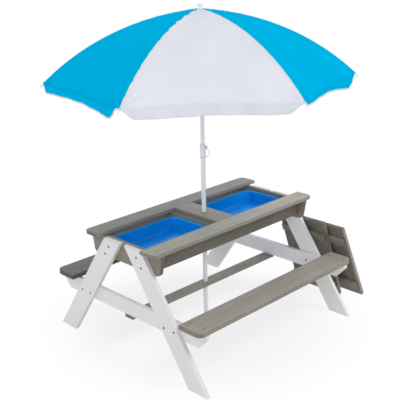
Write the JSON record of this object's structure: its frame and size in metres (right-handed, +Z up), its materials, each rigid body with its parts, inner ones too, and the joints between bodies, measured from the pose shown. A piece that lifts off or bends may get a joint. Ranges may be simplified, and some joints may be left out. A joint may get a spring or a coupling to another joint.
{
  "type": "picnic table with sandbox",
  "caption": "Small wooden picnic table with benches, lift-out plastic bins under its top, loose lids that lean on one end, and a folding umbrella on a pole through the middle.",
  "frame": {"origin": "on the ground, at the middle of the umbrella pole's foot", "axes": "+Z up along the pole, X along the table with the leaning lids at +X, +Y towards the back seat"},
  "size_m": [1.28, 1.2516, 1.36],
  "materials": {
    "stained_wood": "grey-brown stain, satin",
    "white_wood": "white paint, semi-gloss",
    "dark_steel": "dark, satin",
    "bin_plastic": "blue, semi-gloss",
    "white_steel": "white paint, gloss",
    "white_plastic": "white, satin",
    "dark_plastic": "dark grey, satin",
    "blue_cloth": "woven, matt",
    "white_cloth": "woven, matt"
  },
  "bodies": {
    "table": {"top_plank_front": "stained_wood", "top_plank_back": "stained_wood", "cross_plank": "stained_wood", "side_apron_front": "stained_wood", "side_apron_back": "stained_wood", "divider_left": "stained_wood", "divider_right": "stained_wood", "end_apron_left": "stained_wood", "end_apron_right": "stained_wood", "seat_front": "stained_wood", "seat_back": "stained_wood", "stretcher": "stained_wood", "bin_ledges": "stained_wood", "leg_left_front": "white_wood", "leg_left_back": "white_wood", "leg_right_front": "white_wood", "leg_right_back": "white_wood", "rail_left": "white_wood", "rail_right": "white_wood", "leg_bolts_and_nuts": "dark_steel", "wood_screws": "dark_steel"},
    "bin_left": {"bin_left": "bin_plastic"},
    "bin_right": {"bin_right": "bin_plastic"},
    "lid_inner": {"lid_inner_boards": "stained_wood", "lid_inner_cleats": "stained_wood"},
    "lid_outer": {"lid_outer_boards": "stained_wood", "lid_outer_cleats": "stained_wood"},
    "lower_pole": {"lower_tube": "white_steel", "foot_plug": "white_plastic", "collar": "white_plastic", "pin_strap": "white_plastic"},
    "lock_pin": {"lock_pin": "dark_plastic"},
    "upper_pole": {"upper_tube": "white_steel", "crown": "white_plastic", "finial": "white_plastic"},
    "runner": {"runner": "white_plastic"},
    "rib_1": {"rib_1": "white_steel"},
    "strut_1": {"strut_1": "white_steel"},
    "cloth_1_right": {"cloth_1_right": "white_cloth"},
    "cloth_1_left": {"cloth_1_left": "blue_cloth"},
    "rib_2": {"rib_2": "white_steel"},
    "strut_2": {"strut_2": "white_steel"},
    "cloth_2_right": {"cloth_2_right": "blue_cloth"},
    "cloth_2_left": {"cloth_2_left": "white_cloth"},
    "rib_3": {"rib_3": "white_steel"},
    "strut_3": {"strut_3": "white_steel"},
    "cloth_3_right": {"cloth_3_right": "white_cloth"},
    "cloth_3_left": {"cloth_3_left": "blue_cloth"},
    "rib_4": {"rib_4": "white_steel"},
    "strut_4": {"strut_4": "white_steel"},
    "cloth_4_right": {"cloth_4_right": "blue_cloth"},
    "cloth_4_left": {"cloth_4_left": "white_cloth"},
    "rib_5": {"rib_5": "white_steel"},
    "strut_5": {"strut_5": "white_steel"},
    "cloth_5_right": {"cloth_5_right": "white_cloth"},
    "cloth_5_left": {"cloth_5_left": "blue_cloth"},
    "rib_6": {"rib_6": "white_steel"},
    "strut_6": {"strut_6": "white_steel"},
    "cloth_6_right": {"cloth_6_right": "blue_cloth"},
    "cloth_6_left": {"cloth_6_left": "white_cloth"}
  },
  "joints": [
    {"name": "bin_left_lift", "type": "slide", "parent": "table", "child": "bin_left", "axis": [0, 0, 1], "range_m": [0, 0.12]},
    {"name": "bin_right_lift", "type": "slide", "parent": "table", "child": "bin_right", "axis": [0, 0, 1], "range_m": [0, 0.12]},
    {"name": "lid_inner_shift", "type": "slide", "parent": "table", "child": "lid_inner", "axis": [0, 1, 0], "range_m": [0, 0.3]},
    {"name": "lid_outer_shift", "type": "slide", "parent": "table", "child": "lid_outer", "axis": [1, 0, 0], "range_m": [0, 0.3]},
    {"name": "umbrella_lift", "type": "slide", "parent": "table", "child": "lower_pole", "axis": [0, 0, 1], "range_m": [0, 0.51]},
    {"name": "lock_pin_pull", "type": "slide", "parent": "lower_pole", "child": "lock_pin", "axis": [0.7071, -0.7071, 0], "range_m": [0, 0.03], "deforming": ["pin_strap"]},
    {"name": "height_slide", "type": "slide", "parent": "lower_pole", "child": "upper_pole", "axis": [0, 0, 1], "range_m": [-0.03, 0.15]},
    {"name": "runner_slide", "type": "slide", "parent": "upper_pole", "child": "runner", "axis": [0, 0, 1], "range_m": [-0.35592, 0]},
    {"name": "canopy_fold", "type": "hinge", "parent": "upper_pole", "child": "rib_1", "pos_m": [0.01514, 0.00518, 1.327], "axis": [-0.3239, 0.9461, 0], "range_deg": [0, 60]},
    {"name": "strut_1_fold", "type": "hinge", "parent": "rib_1", "child": "strut_1", "pos_m": [0.23652, 0.08098, 1.27761], "axis": [-0.3239, 0.9461, 0], "range_deg": [-120, 0]},
    {"name": "cloth_1_right_fold", "type": "hinge", "parent": "rib_1", "child": "cloth_1_right", "pos_m": [0.01653, 0.00113, 1.327], "axis": [0.6308, -0.7485, 0.2046], "range_deg": [0, 36.9], "deforming": ["cloth_1_right"]},
    {"name": "cloth_1_left_fold", "type": "hinge", "parent": "rib_1", "child": "cloth_1_left", "pos_m": [0.01375, 0.00924, 1.327], "axis": [-0.0397, -0.978, -0.2046], "range_deg": [0, 36.9], "deforming": ["cloth_1_left"]},
    {"name": "rib_2_fold", "type": "hinge", "parent": "upper_pole", "child": "rib_2", "pos_m": [0.00308, 0.0157, 1.327], "axis": [-0.9813, 0.1925, 0], "range_deg": [0, 60]},
    {"name": "strut_2_fold", "type": "hinge", "parent": "rib_2", "child": "strut_2", "pos_m": [0.04813, 0.24532, 1.27761], "axis": [-0.9813, 0.1925, 0], "range_deg": [-120, 0]},
    {"name": "cloth_2_right_fold", "type": "hinge", "parent": "rib_2", "child": "cloth_2_right", "pos_m": [0.00729, 0.01488, 1.327], "axis": [0.9636, 0.1721, 0.2046], "range_deg": [0, 36.9], "deforming": ["cloth_2_right"]},
    {"name": "cloth_2_left_fold", "type": "hinge", "parent": "rib_2", "child": "cloth_2_left", "pos_m": [-0.00113, 0.01653, 1.327], "axis": [0.8272, -0.5234, -0.2046], "range_deg": [0, 36.9], "deforming": ["cloth_2_left"]},
    {"name": "rib_3_fold", "type": "hinge", "parent": "upper_pole", "child": "rib_3", "pos_m": [-0.01206, 0.01052, 1.327], "axis": [-0.6574, -0.7536, 0], "range_deg": [0, 60]},
    {"name": "strut_3_fold", "type": "hinge", "parent": "rib_3", "child": "strut_3", "pos_m": [-0.18839, 0.16434, 1.27761], "axis": [-0.6574, -0.7536, 0], "range_deg": [-120, 0]},
    {"name": "cloth_3_right_fold", "type": "hinge", "parent": "rib_3", "child": "cloth_3_right", "pos_m": [-0.00924, 0.01375, 1.327], "axis": [0.3328, 0.9205, 0.2046], "range_deg": [0, 36.9], "deforming": ["cloth_3_right"]},
    {"name": "cloth_3_left_fold", "type": "hinge", "parent": "rib_3", "child": "cloth_3_left", "pos_m": [-0.01488, 0.00729, 1.327], "axis": [0.8669, 0.4546, -0.2046], "range_deg": [0, 36.9], "deforming": ["cloth_3_left"]},
    {"name": "rib_4_fold", "type": "hinge", "parent": "upper_pole", "child": "rib_4", "pos_m": [-0.01514, -0.00518, 1.327], "axis": [0.3239, -0.9461, 0], "range_deg": [0, 60]},
    {"name": "strut_4_fold", "type": "hinge", "parent": "rib_4", "child": "strut_4", "pos_m": [-0.23652, -0.08098, 1.27761], "axis": [0.3239, -0.9461, 0], "range_deg": [-120, 0]},
    {"name": "cloth_4_right_fold", "type": "hinge", "parent": "rib_4", "child": "cloth_4_right", "pos_m": [-0.01653, -0.00113, 1.327], "axis": [-0.6308, 0.7485, 0.2046], "range_deg": [0, 36.9], "deforming": ["cloth_4_right"]},
    {"name": "cloth_4_left_fold", "type": "hinge", "parent": "rib_4", "child": "cloth_4_left", "pos_m": [-0.01375, -0.00924, 1.327], "axis": [0.0397, 0.978, -0.2046], "range_deg": [0, 36.9], "deforming": ["cloth_4_left"]},
    {"name": "rib_5_fold", "type": "hinge", "parent": "upper_pole", "child": "rib_5", "pos_m": [-0.00308, -0.0157, 1.327], "axis": [0.9813, -0.1925, 0], "range_deg": [0, 60]},
    {"name": "strut_5_fold", "type": "hinge", "parent": "rib_5", "child": "strut_5", "pos_m": [-0.04813, -0.24532, 1.27761], "axis": [0.9813, -0.1925, 0], "range_deg": [-120, 0]},
    {"name": "cloth_5_right_fold", "type": "hinge", "parent": "rib_5", "child": "cloth_5_right", "pos_m": [-0.00729, -0.01488, 1.327], "axis": [-0.9636, -0.1721, 0.2046], "range_deg": [0, 36.9], "deforming": ["cloth_5_right"]},
    {"name": "cloth_5_left_fold", "type": "hinge", "parent": "rib_5", "child": "cloth_5_left", "pos_m": [0.00113, -0.01653, 1.327], "axis": [-0.8272, 0.5234, -0.2046], "range_deg": [0, 36.9], "deforming": ["cloth_5_left"]},
    {"name": "rib_6_fold", "type": "hinge", "parent": "upper_pole", "child": "rib_6", "pos_m": [0.01206, -0.01052, 1.327], "axis": [0.6574, 0.7536, 0], "range_deg": [0, 60]},
    {"name": "strut_6_fold", "type": "hinge", "parent": "rib_6", "child": "strut_6", "pos_m": [0.18839, -0.16434, 1.27761], "axis": [0.6574, 0.7536, 0], "range_deg": [-120, 0]},
    {"name": "cloth_6_right_fold", "type": "hinge", "parent": "rib_6", "child": "cloth_6_right", "pos_m": [0.00924, -0.01375, 1.327], "axis": [-0.3328, -0.9205, 0.2046], "range_deg": [0, 36.9], "deforming": ["cloth_6_right"]},
    {"name": "cloth_6_left_fold", "type": "hinge", "parent": "rib_6", "child": "cloth_6_left", "pos_m": [0.01488, -0.00729, 1.327], "axis": [-0.8669, -0.4546, -0.2046], "range_deg": [0, 36.9], "deforming": ["cloth_6_left"]}
  ],
  "couplings": [
    {"joint": "runner_slide", "follows": "canopy_fold", "m_per_rad": -0.33987},
    {"joint": "strut_1_fold", "follows": "canopy_fold", "ratio": -2},
    {"joint": "cloth_1_right_fold", "follows": "canopy_fold", "ratio": 0.61491},
    {"joint": "cloth_1_left_fold", "follows": "canopy_fold", "ratio": 0.61491},
    {"joint": "rib_2_fold", "follows": "canopy_fold", "ratio": 1},
    {"joint": "strut_2_fold", "follows": "canopy_fold", "ratio": -2},
    {"joint": "cloth_2_right_fold", "follows": "canopy_fold", "ratio": 0.61491},
    {"joint": "cloth_2_left_fold", "follows": "canopy_fold", "ratio": 0.61491},
    {"joint": "rib_3_fold", "follows": "canopy_fold", "ratio": 1},
    {"joint": "strut_3_fold", "follows": "canopy_fold", "ratio": -2},
    {"joint": "cloth_3_right_fold", "follows": "canopy_fold", "ratio": 0.61491},
    {"joint": "cloth_3_left_fold", "follows": "canopy_fold", "ratio": 0.61491},
    {"joint": "rib_4_fold", "follows": "canopy_fold", "ratio": 1},
    {"joint": "strut_4_fold", "follows": "canopy_fold", "ratio": -2},
    {"joint": "cloth_4_right_fold", "follows": "canopy_fold", "ratio": 0.61491},
    {"joint": "cloth_4_left_fold", "follows": "canopy_fold", "ratio": 0.61491},
    {"joint": "rib_5_fold", "follows": "canopy_fold", "ratio": 1},
    {"joint": "strut_5_fold", "follows": "canopy_fold", "ratio": -2},
    {"joint": "cloth_5_right_fold", "follows": "canopy_fold", "ratio": 0.61491},
    {"joint": "cloth_5_left_fold", "follows": "canopy_fold", "ratio": 0.61491},
    {"joint": "rib_6_fold", "follows": "canopy_fold", "ratio": 1},
    {"joint": "strut_6_fold", "follows": "canopy_fold", "ratio": -2},
    {"joint": "cloth_6_right_fold", "follows": "canopy_fold", "ratio": 0.61491},
    {"joint": "cloth_6_left_fold", "follows": "canopy_fold", "ratio": 0.61491}
  ]
}
